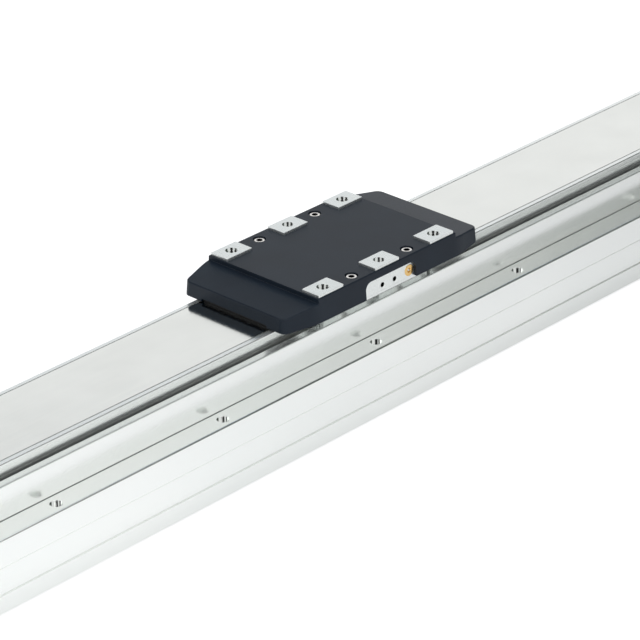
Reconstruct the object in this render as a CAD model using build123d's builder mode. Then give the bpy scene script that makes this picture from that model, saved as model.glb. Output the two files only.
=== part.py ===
from build123d import *
import os
from math import pi

os.makedirs("parts", exist_ok=True)

# A belt-driven linear slide, in millimetres. X runs along the slide, from the drive end (-X) to the
# tension end (+X). Y runs across it, with the near side at -Y. Z is up, from the base's underside.

NEAR, FAR = -1, 1
DRIVE_END, IDLER_END = -1, 1

# Base profile
profile_length = 960.0
base_width = 140.0
base_height = 55.3
ledge_width = 20.0
body_height = 81.0
body_wall = 4.5
lip_width = 6.4
lip_depth = 4.0
slot_width = 4.0
channel_depth = 36.0
floor_thickness = 6.0
belt_channel_width = 42.0
belt_channel_depth = 20.0
channel_rib = 8.0
chamber_width = 19.0
chamber_wall = 9.0
chamber_corner = 3.0
ledge_edge_radius = 2.0
foot_edge_radius = 0.8
lip_chamfer = 0.4

# Line grooves in the profile's walls
wide_groove_height = 15.0
wide_groove_width = 2.4
wide_groove_depth = 1.0
fine_groove_height = 35.0
fine_groove_width = 0.6
fine_groove_depth = 0.3
lip_groove_below_top = 0.8
lip_groove_width = 0.6
lip_groove_depth = 1.0
corner_groove_width = 0.7
corner_groove_depth = 1.2

# Fixing holes in the ledges
fixing_hole_diameter = 8.5
fixing_pitch = 160.0
fixing_end_land = 120.0
fixing_hole_chamfer = 0.4

# Cover bar and cover band
bar_rise = 8.8
bar_height = 9.0
bar_seat = 12.0
bar_rim = 3.9
bar_screw_land = 5.7
bar_edge_chamfer = 0.6
bar_groove_height = 3.2
bar_groove_width = 0.6
bar_groove_depth = 0.5
bar_rib_width = 3.0
bar_rib_drop = 3.4
bar_rib_groove_width = 0.5
bar_rib_groove_depth = 1.2
band_thickness = 0.5
band_gap = 0.8
band_bed_depth = 0.5
band_groove_depth = 1.2
band_run_out = 24.0

# Guide rails and runner blocks
rail_width = 15.0
rail_height = 12.5
rail_end_gap = 4.0
rail_groove_height = 4.0
rail_groove_depth = 1.0
rail_screw_pitch = 60.0
rail_screw_end_land = 20.0
rail_screw_recess = 4.5
block_stack = 24.0
block_width = 34.0
block_steel_length = 39.0
block_cap_length = 8.9
block_cap_inset = 0.3
block_ground_gap = 4.5
block_rail_gap = 0.35
block_web_gap = 2.0
block_bolt_spacing = 26.0
block_bolt_depth = 6.5
block_offset = 60.0

# Carriage frame: a plate on the runner blocks, with two webs up through the slots
frame_plate_thickness = 7.2
frame_half_length = 80.0
frame_stop_half_length = 92.0
frame_stop_inset = 1.7
web_thickness = 2.8
web_half_length = 60.0
web_flange_thickness = 3.4
web_flange_width = 12.3

# Carriage plate with its six pads
carriage_x = 18.5
carriage_gap = 1.1
plate_length = 146.4
plate_side_inset = 15.8
plate_thickness = 15.1
pad_length = 26.0
pad_width = 17.2
pad_rise = 1.7
pad_pitch = 60.0
pad_row_inset = 7.7
pad_corner = 0.6
pad_thread_core = 8.5
pad_thread_depth = 16.0
pad_countersink_width = 0.5
pad_countersink_depth = 0.4
pad_bore_diameter = 8.0
pad_bore_depth = 12.0
pad_bore_chamfer = 0.3
plate_screw_spacing_x = 60.0
plate_screw_inset = 7.3
plate_screw_length = 18.0
plate_screw_sink = 0.8
cam_hole_core = 3.3
cam_hole_spacing = 13.2
cam_hole_depth = 8.0
cam_countersink_width = 0.8
cam_countersink_depth = 0.4
cam_holes_x = 2.2
cam_holes_height = 4.15
nipple_x = 24.3
nipple_height = 5.6
nipple_radius = 4.5
nipple_rise = 0.4
nipple_stem_radius = 3.0
nipple_stem_length = 6.0
nipple_cone_radius = 1.9
nipple_cone_depth = 1.2
nipple_ball_radius = 1.3

# Carriage hood
hood_half_length = 105.8
hood_bend = 78.0
hood_side_wall = 3.2
hood_end_narrowing = 6.5
hood_side_draft = 1.4
hood_end_draft = 0.8
hood_corner_radius = 6.0
hood_bend_radius = 50.0
hood_roof = 3.8
hood_wall = 3.0
hood_step_x = 74.4
hood_step_drop = 3.7
hood_slope_end_height = 11.3
hood_edge_radius = 1.0
hood_arch_inset = 1.7
hood_arch_height = 2.1
hood_arch_corner = 1.5
hood_pocket_gap = 0.15
hood_screw_hole_diameter = 10.0
window_left = -25.2
window_right = 29.3
window_height = 12.8
window_corner = 6.0
scraper_thickness = 2.8
scraper_overlap = 1.0

# Toothed belt and pulleys
belt_pitch = 5.0
belt_width = 32.0
belt_backing = 1.74
belt_tooth_height = 2.06
pitch_line_offset = 0.571
pulley_teeth = 32
tooth_groove_radius = 1.6
pulley_side_gap = 0.5
pulley_flange_thickness = 1.5
pulley_flange_rise = 1.8
belt_rise = 2.4
running_gap = 0.3
clamp_length = 32.0
clamp_start = 9.0
clamp_leg_width = 8.5
clamp_thickness = 4.0
clamp_ridge_width = 1.9
clamp_screw_spacing = 16.0
clamp_bar_gap = 0.8

# Drive head
drive_head_length = 93.0
drive_bay_width = 42.0
bay_gap = 4.0
shaft_radius = 10.0
bearing_seat_y = 46.0
shaft_clear_radius = 14.0
retaining_ring_thickness = 1.2
retaining_ring_rise = 0.8
retaining_ring_width = 2.8
flange_shaft_radius = 7.5
journal_radius = 7.0
journal_length = 26.0
journal_chamfer = 0.8
key_size = 6.0
key_length = 28.0
motor_flange_length = 70.0
motor_flange_height = 56.0
motor_flange_thickness = 10.0
motor_flange_bore_radius = 13.0
motor_flange_pilot = 3.0
motor_flange_corner = 5.0
motor_flange_screw_x = 56.0
motor_flange_screw_z = 40.0
motor_bolt_circle = 44.0
motor_bolt_core = 4.2
bearing_cap_radius = 22.0
bearing_cap_thickness = 3.0
bearing_cap_plug = 4.0

# Tension head
idler_head_length = 74.0
idler_axis_inset = 33.5
yoke_bay_width = 48.0
yoke_slide_gap = 0.3
yoke_cheek = 4.7
yoke_web_start = 31.0
yoke_web_thickness = 8.0
yoke_front = 22.0
yoke_corner = 6.0
yoke_travel = 3.0
axle_radius = 7.5
pulley_shoulder = 7.2
pulley_bore_radius = 13.0
tension_screw_y = 13.0
tension_screw_shank = 16.5

# Parts common to both heads
head_corner = 4.0
head_top_chamfer = 1.5
head_cover_thickness = 6.0
head_cover_chamfer = 1.2
head_cover_screw_inset = 25.0
head_cover_screw_height = 14.0
head_cover_screw_below_top = 13.8
head_cover_screw_reach = 10.0
head_bolt_inset = 9.0
head_bolt_heights = (11.0, 25.0)
head_bolt_reach = 22.0
head_bolt_recess = 9.0
band_clamp_length = 16.0
band_clamp_thickness = 5.0
band_clamp_inset = 4.0
band_clamp_screw_spacing = 48.0
lid_screw_reach = 5.0
buffer_radius = 7.5
buffer_length = 22.0
buffer_y = 30.0
buffer_stud_radius = 2.5
buffer_stud_length = 8.0
end_gap = 12.0

# Fits
seat_gap = 0.02
shank_gap = 0.05
clearance = 0.3
sink_gap = 0.15

# Bearings: bore radius, outer radius, width, ring thickness, number of balls
drive_bearing = (8.5, 17.5, 10.0, 2.4, 9)
idler_bearing = (7.5, 16.0, 9.0, 2.3, 9)
ball_gap = 0.05
shield_thickness = 0.4
shield_inset = 0.3

# Screws: shank radius, head radius, head height, hexagon socket across flats
m3_screw = (1.5, 2.75, 3.0, 2.5)
m4_screw = (2.0, 3.5, 4.0, 3.0)
m5_screw = (2.5, 4.25, 5.0, 4.0)
m6_screw = (3.0, 5.0, 6.0, 5.0)

# Worked out from the sizes above
profile_end = profile_length / 2
fixing_spacing = base_width - ledge_width
fixings_per_side = int((profile_length - 2 * fixing_end_land) / fixing_pitch) + 1
body_half = base_width / 2 - ledge_width
cavity_half = body_half - body_wall
floor_height = body_height - channel_depth
slot_outer = body_half - lip_width
bar_half = slot_outer - slot_width
bar_top = body_height + bar_rise
bar_bottom = bar_top - bar_height
bar_end = profile_end + bar_seat
band_bed = bar_top - band_bed_depth
band_top = band_bed + band_thickness
band_bed_half = bar_half - bar_rim
band_width = 2 * (band_bed_half - band_gap)
bar_recess_width = 2 * (band_bed_half - bar_screw_land)
band_end = bar_end + band_run_out
web_outer = slot_outer - (slot_width - web_thickness) / 2
web_inner = web_outer - web_thickness
rail_y = web_outer - block_web_gap - block_width / 2
rail_top = floor_height + rail_height
rail_length = profile_length - 2 * rail_end_gap
rail_screws_per_rail = int((rail_length - 2 * rail_screw_end_land) / rail_screw_pitch) + 1
rail_screw_seat = rail_top - rail_screw_recess
block_top = floor_height + block_stack
block_bottom = floor_height + block_ground_gap
frame_top = block_top + frame_plate_thickness
belt_inner_z = frame_top + belt_rise
pitch_radius = pulley_teeth * belt_pitch / (2 * pi)
belt_inner_radius = pitch_radius - pitch_line_offset
belt_outer_radius = belt_inner_radius + belt_backing
tip_radius = belt_inner_radius - running_gap
axis_z = belt_inner_z - belt_inner_radius
clamp_tunnel_top = belt_inner_z + belt_backing + running_gap
clamp_top = clamp_tunnel_top + clamp_thickness
clamp_half_width = belt_width / 2 + running_gap + clamp_leg_width
frame_stop_half_width = web_inner - frame_stop_inset
plate_width = base_width - 2 * plate_side_inset
pad_row_spacing = plate_width - 2 * pad_row_inset
plate_screw_spacing_y = plate_width - 2 * plate_screw_inset
hood_half_width = plate_width / 2 + hood_side_wall
hood_end_half_width = hood_half_width - hood_end_narrowing
hood_arch_width = band_width - 2 * hood_arch_inset
scraper_width = hood_arch_width + 2 * scraper_overlap
plate_bottom = bar_top + carriage_gap
plate_top = plate_bottom + plate_thickness
hood_top = plate_top + hood_roof
pad_top = hood_top + pad_rise
pulley_half = belt_width / 2 + pulley_side_gap
flange_face = pulley_half + pulley_flange_thickness
flange_radius = belt_outer_radius + pulley_flange_rise
drive_x = -(profile_end + drive_head_length / 2)
idler_x = profile_end + idler_axis_inset
head_side = base_width / 2
head_bolt_y = head_side - head_bolt_inset
bearing_face = bearing_seat_y + drive_bearing[2]
motor_face = head_side + motor_flange_thickness
yoke_half = yoke_bay_width / 2 - yoke_slide_gap
yoke_cheek_face = yoke_half - yoke_cheek
bay_bottom = axis_z - belt_outer_radius - bay_gap / 2
bay_top = axis_z + belt_outer_radius + bay_gap / 2
window_top = plate_bottom + window_height


def write(piece, name):
    """Labels a finished piece and writes its STEP file."""
    piece.part.label = name
    export_step(piece.part, f"parts/{name}.step")


def cap_screw(size, length):
    """A socket cap screw that points down: its head stands on z = 0."""
    shank_radius, head_radius, head_height, socket = size
    with BuildPart() as screw:
        Cylinder(shank_radius, length, align=(Align.CENTER, Align.CENTER, Align.MAX))
        Cylinder(head_radius, head_height, align=(Align.CENTER, Align.CENTER, Align.MIN))
        chamfer(screw.edges().filter_by(GeomType.CIRCLE).sort_by(Axis.Z)[-1], head_height * 0.08)
        with BuildSketch(Plane.XY.offset(head_height)):
            RegularPolygon(socket / 2, 6, major_radius=False)
        extrude(amount=-head_height / 2, mode=Mode.SUBTRACT)
    return screw.part


def countersunk_screw(size, length):
    """A countersunk screw that points down: the top of its head lies on z = 0."""
    shank_radius, head_radius, _, socket = size
    with BuildPart() as screw:
        Cylinder(shank_radius, length, align=(Align.CENTER, Align.CENTER, Align.MAX))
        Cone(shank_radius, head_radius, head_radius - shank_radius,
             align=(Align.CENTER, Align.CENTER, Align.MAX))
        with BuildSketch(Plane.XY):
            RegularPolygon(socket * 0.4, 6, major_radius=False)
        extrude(amount=-(head_radius - shank_radius), mode=Mode.SUBTRACT)
    return screw.part


def screw_group(screw, planes):
    """One solid for each plane: the screw's head points along the plane's normal."""
    with BuildPart() as group:
        with Locations(*planes):
            add(screw)
    return group


def screw_holes(size, planes, depth):
    """Cuts a shank hole below each plane, in the part that is being built."""
    with Locations(*planes):
        Cylinder(size[0] + shank_gap, 2 * depth, mode=Mode.SUBTRACT)


def sunk_holes(size, planes, depth):
    """Cuts countersunk holes below each plane, in the part that is being built."""
    with Locations(*planes):
        CounterSinkHole(size[0] + shank_gap, size[1] + sink_gap, depth, 90)


def up(x, y, z):
    """A plane at a point that faces up."""
    return Plane(origin=(x, y, z), x_dir=(1, 0, 0), z_dir=(0, 0, 1))


def facing_x(end, x, y, z):
    """A plane at a point that faces along X, towards the end."""
    return Plane(origin=(x, y, z), x_dir=(0, end, 0), z_dir=(end, 0, 0))


def facing_y(side, x, y, z):
    """A plane at a point that faces along Y, towards the side."""
    return Plane(origin=(x, y, z), x_dir=(-side, 0, 0), z_dir=(0, side, 0))


def rings(x, spans):
    """Rings about a cross axis at x: each span is outer radius, inner radius, from y, to y."""
    with BuildPart() as made:
        for outer, inner, low, high in spans:
            with BuildSketch(Plane(origin=(x, low, axis_z), x_dir=(1, 0, 0), z_dir=(0, 1, 0))):
                Circle(outer)
                if inner > 0:
                    Circle(inner, mode=Mode.SUBTRACT)
            extrude(amount=high - low)
    return made


def mirrored(spans):
    """The same rings on both sides of the middle."""
    return spans + [(outer, inner, -high, -low) for outer, inner, low, high in spans]


def bearing_outer_rings(x, bearing, face):
    """The outer rings of a pair of bearings whose inner faces lie at the distance face."""
    _, outer, width, ring, _ = bearing
    return rings(x, mirrored([(outer, outer - ring, face, face + width)]))


def bearing_inner_rings(x, bearing, face):
    """The inner rings of a pair of bearings."""
    bore, _, width, ring, _ = bearing
    return rings(x, mirrored([(bore + ring, bore + seat_gap, face, face + width)]))


def bearing_balls(x, bearing, face):
    """The balls of a pair of bearings, on a circle midway between the rings."""
    bore, outer, width, ring, count = bearing
    track = (bore + outer) / 2
    ball = (outer - bore) / 2 - ring - ball_gap
    planes = [facing_y(side, x, side * (face + width / 2), axis_z) for side in (NEAR, FAR)]
    with BuildPart(*planes) as balls:
        with PolarLocations(track, count):
            Sphere(ball)
    return balls


def bearing_shields(x, bearing, face):
    """Thin rings that close both faces of a pair of bearings, clear of the inner rings."""
    bore, outer, width, ring, _ = bearing
    inner_edge = bore + ring + clearance
    outer_edge = outer - ring - shank_gap
    low = face + shield_inset
    high = face + width - shield_inset
    spans = [(outer_edge, inner_edge, low, low + shield_thickness)]
    spans += [(outer_edge, inner_edge, high - shield_thickness, high)]
    return rings(x, mirrored(spans))


def toothed_wheel(x, bore):
    """A pulley's rim and body: round grooves on its outside, at the belt's pitch."""
    with BuildPart() as wheel:
        with BuildSketch(Plane(origin=(x, 0, axis_z), x_dir=(1, 0, 0), z_dir=(0, 1, 0))):
            Circle(tip_radius)
            Circle(bore, mode=Mode.SUBTRACT)
            with PolarLocations(tip_radius + tooth_groove_radius - belt_tooth_height, pulley_teeth):
                Circle(tooth_groove_radius, mode=Mode.SUBTRACT)
        extrude(amount=pulley_half, both=True)
    return wheel


def pulley_flanges(x):
    """The two flange rings that keep the belt on its pulley."""
    inner = tip_radius - belt_tooth_height - pulley_flange_thickness
    return rings(x, mirrored([(flange_radius, inner, pulley_half, flange_face)]))


# Base profile
fixing_places = GridLocations(fixing_pitch, fixing_spacing, fixings_per_side, 2)
rail_screw_planes = [up(x, side * rail_y, rail_screw_seat)
                     for side in (NEAR, FAR)
                     for x in [(i - (rail_screws_per_rail - 1) / 2) * rail_screw_pitch
                               for i in range(rail_screws_per_rail)]]
head_bolt_places = [(side * head_bolt_y, height) for side in (NEAR, FAR) for height in head_bolt_heights]

with BuildPart() as base_profile:
    with BuildSketch(Plane.YZ) as profile_section:
        with Locations((0, base_height / 2)):
            Rectangle(base_width, base_height)
        with Locations((0, body_height / 2)):
            Rectangle(2 * body_half, body_height)
        fillet([v for v in profile_section.vertices()
                if abs(v.X) > body_half + 1 and v.Y > base_height - 1], ledge_edge_radius)
        fillet([v for v in profile_section.vertices() if v.Y < 1], foot_edge_radius)
        with Locations((0, (floor_height + body_height) / 2)):
            Rectangle(2 * cavity_half, body_height - floor_height, mode=Mode.SUBTRACT)
        for side in (NEAR, FAR):
            with Locations((side * (slot_outer + cavity_half) / 2, body_height - lip_depth / 2)):
                Rectangle(cavity_half - slot_outer, lip_depth)
        chamfer([v for v in profile_section.vertices()
                 if v.Y > body_height - 0.1], lip_chamfer)
        channel_top = floor_height - floor_thickness
        with Locations((0, channel_top - belt_channel_depth / 2)):
            Rectangle(belt_channel_width, belt_channel_depth, mode=Mode.SUBTRACT)
        for side in (NEAR, FAR):
            chamber_y = side * (belt_channel_width / 2 + channel_rib + chamber_width / 2)
            with Locations((chamber_y, (chamber_wall + channel_top) / 2)):
                RectangleRounded(chamber_width, channel_top - chamber_wall, chamber_corner,
                                 mode=Mode.SUBTRACT)
            for height, width, depth in ((wide_groove_height, wide_groove_width, wide_groove_depth),
                                         (fine_groove_height, fine_groove_width, fine_groove_depth)):
                with Locations((side * base_width / 2, height)):
                    Rectangle(2 * depth, width, mode=Mode.SUBTRACT)
            with Locations((side * body_half, body_height - lip_groove_below_top)):
                Rectangle(2 * lip_groove_depth, lip_groove_width, mode=Mode.SUBTRACT)
            with Locations((side * (body_half + corner_groove_width / 2), base_height)):
                Rectangle(corner_groove_width, 2 * corner_groove_depth, mode=Mode.SUBTRACT)
    extrude(amount=profile_end, both=True)
    with Locations((0, 0, base_height)):
        with fixing_places:
            Hole(fixing_hole_diameter / 2)
    chamfer(base_profile.edges().filter_by(GeomType.CIRCLE).group_by(Axis.Z)[-1], fixing_hole_chamfer)
    screw_holes(m3_screw, [up(p.origin.X, p.origin.Y, floor_height) for p in rail_screw_planes],
                floor_thickness + clearance)
    screw_holes(m6_screw, [facing_x(end, end * profile_end, y, z)
                           for end in (DRIVE_END, IDLER_END) for y, z in head_bolt_places],
                head_bolt_reach + clearance)
write(base_profile, "base_profile")

# Guide rails and their screws
for side, name in ((NEAR, "guide_rail_near"), (FAR, "guide_rail_far")):
    with BuildPart() as guide_rail:
        with BuildSketch(Plane.YZ):
            with Locations((side * rail_y, floor_height + rail_height / 2)):
                Rectangle(rail_width, rail_height)
            with Locations([(side * rail_y + edge * rail_width / 2, floor_height + rail_height * 0.6)
                            for edge in (-1, 1)]):
                Rectangle(2 * rail_groove_depth, rail_groove_height, mode=Mode.SUBTRACT)
        extrude(amount=rail_length / 2, both=True)
        seats = [up(p.origin.X, p.origin.Y, rail_top) for p in rail_screw_planes
                 if p.origin.Y * side > 0]
        with Locations(*seats):
            CounterBoreHole(m3_screw[0] + shank_gap, m3_screw[1] + clearance, rail_screw_recess,
                            rail_height)
    write(guide_rail, name)

rail_screws = screw_group(cap_screw(m3_screw, rail_screw_seat - floor_height + floor_thickness),
                          rail_screw_planes)
write(rail_screws, "rail_screws")

# Cover bar, its screws and the cover band
bar_screw_y = (bar_recess_width / 2 + band_bed_half) / 2
bar_screw_planes = [up(end * (profile_end + bar_seat / 2), side * bar_screw_y, band_bed)
                    for end in (DRIVE_END, IDLER_END) for side in (NEAR, FAR)]
band_clamp_planes = [up(end * (band_end - band_clamp_inset - band_clamp_length / 2),
                        side * band_clamp_screw_spacing / 2, band_top + band_clamp_thickness)
                     for end in (DRIVE_END, IDLER_END) for side in (NEAR, FAR)]

with BuildPart() as cover_bar:
    with BuildSketch(Plane.YZ) as bar_section:
        with Locations((0, (bar_top + bar_bottom) / 2)):
            Rectangle(2 * bar_half, bar_height)
        chamfer([v for v in bar_section.vertices() if v.Y > bar_top - 0.1], bar_edge_chamfer)
        with Locations((0, bar_top)):
            Rectangle(2 * band_bed_half, 2 * band_bed_depth, mode=Mode.SUBTRACT)
        with Locations((0, bar_bottom)):
            Rectangle(bar_recess_width, 2 * (clamp_top + clamp_bar_gap - bar_bottom), mode=Mode.SUBTRACT)
        for side in (NEAR, FAR):
            with Locations((side * bar_half, bar_bottom + bar_groove_height)):
                Rectangle(2 * bar_groove_depth, bar_groove_width, mode=Mode.SUBTRACT)
            with Locations((side * (band_bed_half - band_gap / 2), band_bed)):
                Rectangle(band_gap, 2 * band_groove_depth, mode=Mode.SUBTRACT)
            with Locations((side * (bar_half - bar_rib_width / 2), bar_bottom - bar_rib_drop / 2)):
                Rectangle(bar_rib_width, bar_rib_drop)
            with Locations((side * bar_half, bar_bottom - bar_rib_groove_width / 2)):
                Rectangle(2 * bar_rib_groove_depth, bar_rib_groove_width, mode=Mode.SUBTRACT)
    extrude(amount=bar_end, both=True)
    sunk_holes(m3_screw, bar_screw_planes, bar_height)
write(cover_bar, "cover_bar")

bar_screw_length = band_bed - bar_bottom + lid_screw_reach
write(screw_group(countersunk_screw(m3_screw, bar_screw_length), bar_screw_planes), "cover_bar_screws")

with BuildPart() as cover_band:
    with Locations((0, 0, band_bed)):
        Box(2 * band_end, band_width, band_thickness, align=(Align.CENTER, Align.CENTER, Align.MIN))
    screw_holes(m4_screw, [up(p.origin.X, p.origin.Y, band_top) for p in band_clamp_planes],
                2 * band_thickness)
write(cover_band, "cover_band")

band_screw_length = band_clamp_thickness + band_thickness + lid_screw_reach
for end, name in ((DRIVE_END, "band_clamp_drive_end"), (IDLER_END, "band_clamp_tension_end")):
    clamp_planes = [p for p in band_clamp_planes if p.origin.X * end > 0]
    with BuildPart() as band_clamp:
        with Locations((clamp_planes[0].origin.X, 0, band_top)):
            Box(band_clamp_length, band_width - 1, band_clamp_thickness,
                align=(Align.CENTER, Align.CENTER, Align.MIN))
        chamfer(band_clamp.faces().sort_by(Axis.Z)[-1].edges(), band_clamp_thickness / 5)
        sunk_holes(m4_screw, clamp_planes, band_clamp_thickness)
    write(band_clamp, name)
write(screw_group(countersunk_screw(m4_screw, band_screw_length), band_clamp_planes),
      "band_clamp_screws")

# Drive head and tension head
cover_screw_places = [(side * (head_side - head_cover_screw_inset), height) for side in (NEAR, FAR)
                      for height in (head_cover_screw_height, bar_top - head_cover_screw_below_top)]
buffer_z = (block_top + frame_top) / 2


def head_block(end, length):
    """The block of a head: the band's bed and the bar's seat on top, holes for what is bolted on."""
    face = end * profile_end
    outer = end * (profile_end + length)
    with BuildPart() as block:
        with Locations(((face + outer) / 2, 0, 0)):
            Box(length, 2 * head_side, bar_top, align=(Align.CENTER, Align.CENTER, Align.MIN))
        outer_edges = [e for e in block.edges().filter_by(Axis.Z) if abs(e.center().X - outer) < 1]
        fillet(outer_edges, head_corner)
        long_edges = [e for e in block.edges().filter_by(Axis.X) if e.center().Z > bar_top - 1]
        chamfer(long_edges, head_top_chamfer)
        with Locations((end * (profile_end + bar_seat / 2), 0, bar_bottom)):
            Box(bar_seat, 2 * (bar_half + clearance), bar_height,
                align=(Align.CENTER, Align.CENTER, Align.MIN), mode=Mode.SUBTRACT)
        for side in (NEAR, FAR):
            with Locations((end * (profile_end + bar_seat / 2), side * (bar_half - bar_rib_width / 2),
                            bar_bottom - bar_rib_drop / 2)):
                Box(bar_seat, bar_rib_width + 2 * clearance, bar_rib_drop + 2 * clearance,
                    mode=Mode.SUBTRACT)
        with Locations((end * (bar_end + band_run_out / 2), 0, band_bed)):
            Box(band_run_out + 2 * clearance, 2 * band_bed_half, 2 * band_bed_depth,
                align=(Align.CENTER, Align.CENTER, Align.MIN), mode=Mode.SUBTRACT)
        screw_holes(m3_screw, [up(p.origin.X, p.origin.Y, bar_bottom) for p in bar_screw_planes
                               if p.origin.X * end > 0], lid_screw_reach + clearance)
        screw_holes(m4_screw, [up(p.origin.X, p.origin.Y, band_bed) for p in band_clamp_planes
                               if p.origin.X * end > 0], lid_screw_reach + clearance)
        screw_holes(m5_screw, [facing_x(end, outer, y, z) for y, z in cover_screw_places],
                    head_cover_screw_reach + 2 * clearance)
        for y, z in head_bolt_places:
            with Locations(facing_x(end, outer, y, z)):
                CounterBoreHole(m6_screw[0] + clearance, m6_screw[1] + clearance, head_bolt_recess, length)
        with Locations(*[facing_x(-end, face, side * buffer_y, buffer_z) for side in (NEAR, FAR)]):
            Cylinder(buffer_stud_radius + shank_gap, 2 * (buffer_stud_length + clearance),
                     mode=Mode.SUBTRACT)
    return block.part


def head_cover(end, length):
    """The black plate that closes the outer face of a head."""
    outer = end * (profile_end + length)
    with BuildPart() as cover:
        with Locations((outer + end * head_cover_thickness / 2, 0, 0)):
            Box(head_cover_thickness, 2 * head_side, bar_top, align=(Align.CENTER, Align.CENTER, Align.MIN))
        outer_face = cover.faces().filter_by(Axis.X).sort_by(Axis.X)[-1 if end > 0 else 0]
        chamfer(outer_face.edges(), head_cover_chamfer)
        sunk_holes(m5_screw, cover_screw_planes(end, length), head_cover_thickness)
    return cover.part


def cover_screw_planes(end, length):
    """Where the screws of a head's cover start, on its outer face."""
    x = end * (profile_end + length + head_cover_thickness)
    return [facing_x(end, x, y, z) for y, z in cover_screw_places]


def head_bolt_planes(end, length):
    """Where the heads of the bolts that hold a head to the profile sit."""
    x = end * (profile_end + length - head_bolt_recess)
    return [facing_x(end, x, y, z) for y, z in head_bolt_places]


drive_block = head_block(DRIVE_END, drive_head_length)
motor_screw_planes = [facing_y(NEAR, drive_x + step_x * motor_flange_screw_x / 2, -motor_face,
                               axis_z + step_z * motor_flange_screw_z / 2)
                      for step_x in (-1, 1) for step_z in (-1, 1)]

with BuildPart() as drive_housing:
    add(drive_block)
    bay_end = drive_x - flange_radius - bay_gap
    with Locations(((bay_end - profile_end) / 2, 0, (bay_bottom + bay_top) / 2)):
        Box(-profile_end - bay_end, drive_bay_width, bay_top - bay_bottom, mode=Mode.SUBTRACT)
    with Locations((drive_x, 0, axis_z)):
        Cylinder(shaft_clear_radius, 2 * head_side, rotation=(90, 0, 0), mode=Mode.SUBTRACT)
        Cylinder(flange_radius + bay_gap / 2, drive_bay_width, rotation=(90, 0, 0), mode=Mode.SUBTRACT)
    for side in (NEAR, FAR):
        with Locations((drive_x, side * (bearing_seat_y + head_side) / 2, axis_z)):
            Cylinder(drive_bearing[1] + seat_gap, head_side - bearing_seat_y, rotation=(90, 0, 0),
                     mode=Mode.SUBTRACT)
        with Locations((drive_x, side * (bearing_face + (retaining_ring_thickness + shank_gap) / 2), axis_z)):
            Cylinder(drive_bearing[1] + retaining_ring_rise + shank_gap, retaining_ring_thickness + shank_gap,
                     rotation=(90, 0, 0), mode=Mode.SUBTRACT)
    screw_holes(m5_screw, [Plane(origin=(p.origin.X, -head_side, p.origin.Z), z_dir=(0, -1, 0))
                           for p in motor_screw_planes], 10 + clearance)
write(drive_housing, "drive_housing")

idler_block = head_block(IDLER_END, idler_head_length)
with BuildPart() as tension_housing:
    add(idler_block)
    with Locations((profile_end + idler_head_length / 2, 0, (bay_bottom + bay_top) / 2)):
        Box(idler_head_length, yoke_bay_width, bay_top - bay_bottom, mode=Mode.SUBTRACT)
write(tension_housing, "tension_housing")

drive_end_cover = head_cover(DRIVE_END, drive_head_length)
with BuildPart() as drive_cover:
    add(drive_end_cover)
write(drive_cover, "drive_end_cover")

tension_end_cover = head_cover(IDLER_END, idler_head_length)
tension_screw_seat = profile_end + idler_head_length + head_cover_thickness
tension_screw_planes = [facing_x(IDLER_END, tension_screw_seat, side * tension_screw_y, axis_z)
                        for side in (NEAR, FAR)]
with BuildPart() as tension_cover:
    add(tension_end_cover)
    with Locations(*tension_screw_planes):
        Cylinder(m6_screw[0] + clearance, 4 * head_cover_thickness, mode=Mode.SUBTRACT)
write(tension_cover, "tension_end_cover")

cover_screw = countersunk_screw(m5_screw, head_cover_thickness + head_cover_screw_reach)
write(screw_group(cover_screw, cover_screw_planes(DRIVE_END, drive_head_length)), "drive_cover_screws")
write(screw_group(cover_screw, cover_screw_planes(IDLER_END, idler_head_length)), "tension_cover_screws")

for end, length, name in ((DRIVE_END, drive_head_length, "drive_housing_bolts"),
                          (IDLER_END, idler_head_length, "tension_housing_bolts")):
    bolt = cap_screw(m6_screw, length - head_bolt_recess + head_bolt_reach)
    write(screw_group(bolt, head_bolt_planes(end, length)), name)

# Rubber stop buffers
for end, name in ((DRIVE_END, "stop_buffers_drive_end"), (IDLER_END, "stop_buffers_tension_end")):
    with BuildPart() as stop_buffers:
        for side in (NEAR, FAR):
            with Locations(facing_x(-end, end * profile_end, side * buffer_y, buffer_z)):
                Cylinder(buffer_radius, buffer_length, align=(Align.CENTER, Align.CENTER, Align.MIN))
                Cylinder(buffer_stud_radius, buffer_stud_length,
                         align=(Align.CENTER, Align.CENTER, Align.MAX))
        tips = [e for e in stop_buffers.edges().filter_by(GeomType.CIRCLE)
                if abs(e.center().X) < profile_end - buffer_length + 0.1]
        fillet(tips, buffer_radius / 4)
    write(stop_buffers, name)

# Drive shaft, its pulley, key and bearings
journal_end = motor_face + journal_length
drive_shaft = rings(drive_x, [(shaft_radius, 0, -bearing_seat_y, bearing_seat_y),
                              (drive_bearing[0], 0, bearing_seat_y, bearing_face + 1),
                              (drive_bearing[0], 0, -bearing_face - 1, -bearing_seat_y),
                              (flange_shaft_radius, 0, -motor_face, -bearing_face - 1),
                              (journal_radius, 0, -journal_end, -motor_face)])
with BuildPart() as keyed_shaft:
    add(drive_shaft.part)
    chamfer(keyed_shaft.edges().filter_by(GeomType.CIRCLE).sort_by(Axis.Y)[0], journal_chamfer)
    with Locations((drive_x, 0, axis_z + shaft_radius)):
        Box(key_size + shank_gap, key_length + shank_gap, key_size + shank_gap, mode=Mode.SUBTRACT)
write(keyed_shaft, "drive_shaft")

with BuildPart() as pulley_key:
    with Locations((drive_x, 0, axis_z + shaft_radius)):
        Box(key_size, key_length, key_size)
write(pulley_key, "pulley_key")

drive_wheel = toothed_wheel(drive_x, shaft_radius + seat_gap)
with BuildPart() as drive_pulley:
    add(drive_wheel.part)
    with Locations((drive_x, 0, axis_z + shaft_radius)):
        Box(key_size + shank_gap, 4 * pulley_half, key_size + 2 * shank_gap, mode=Mode.SUBTRACT)
write(drive_pulley, "drive_pulley")
write(pulley_flanges(drive_x), "drive_pulley_flanges")

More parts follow.
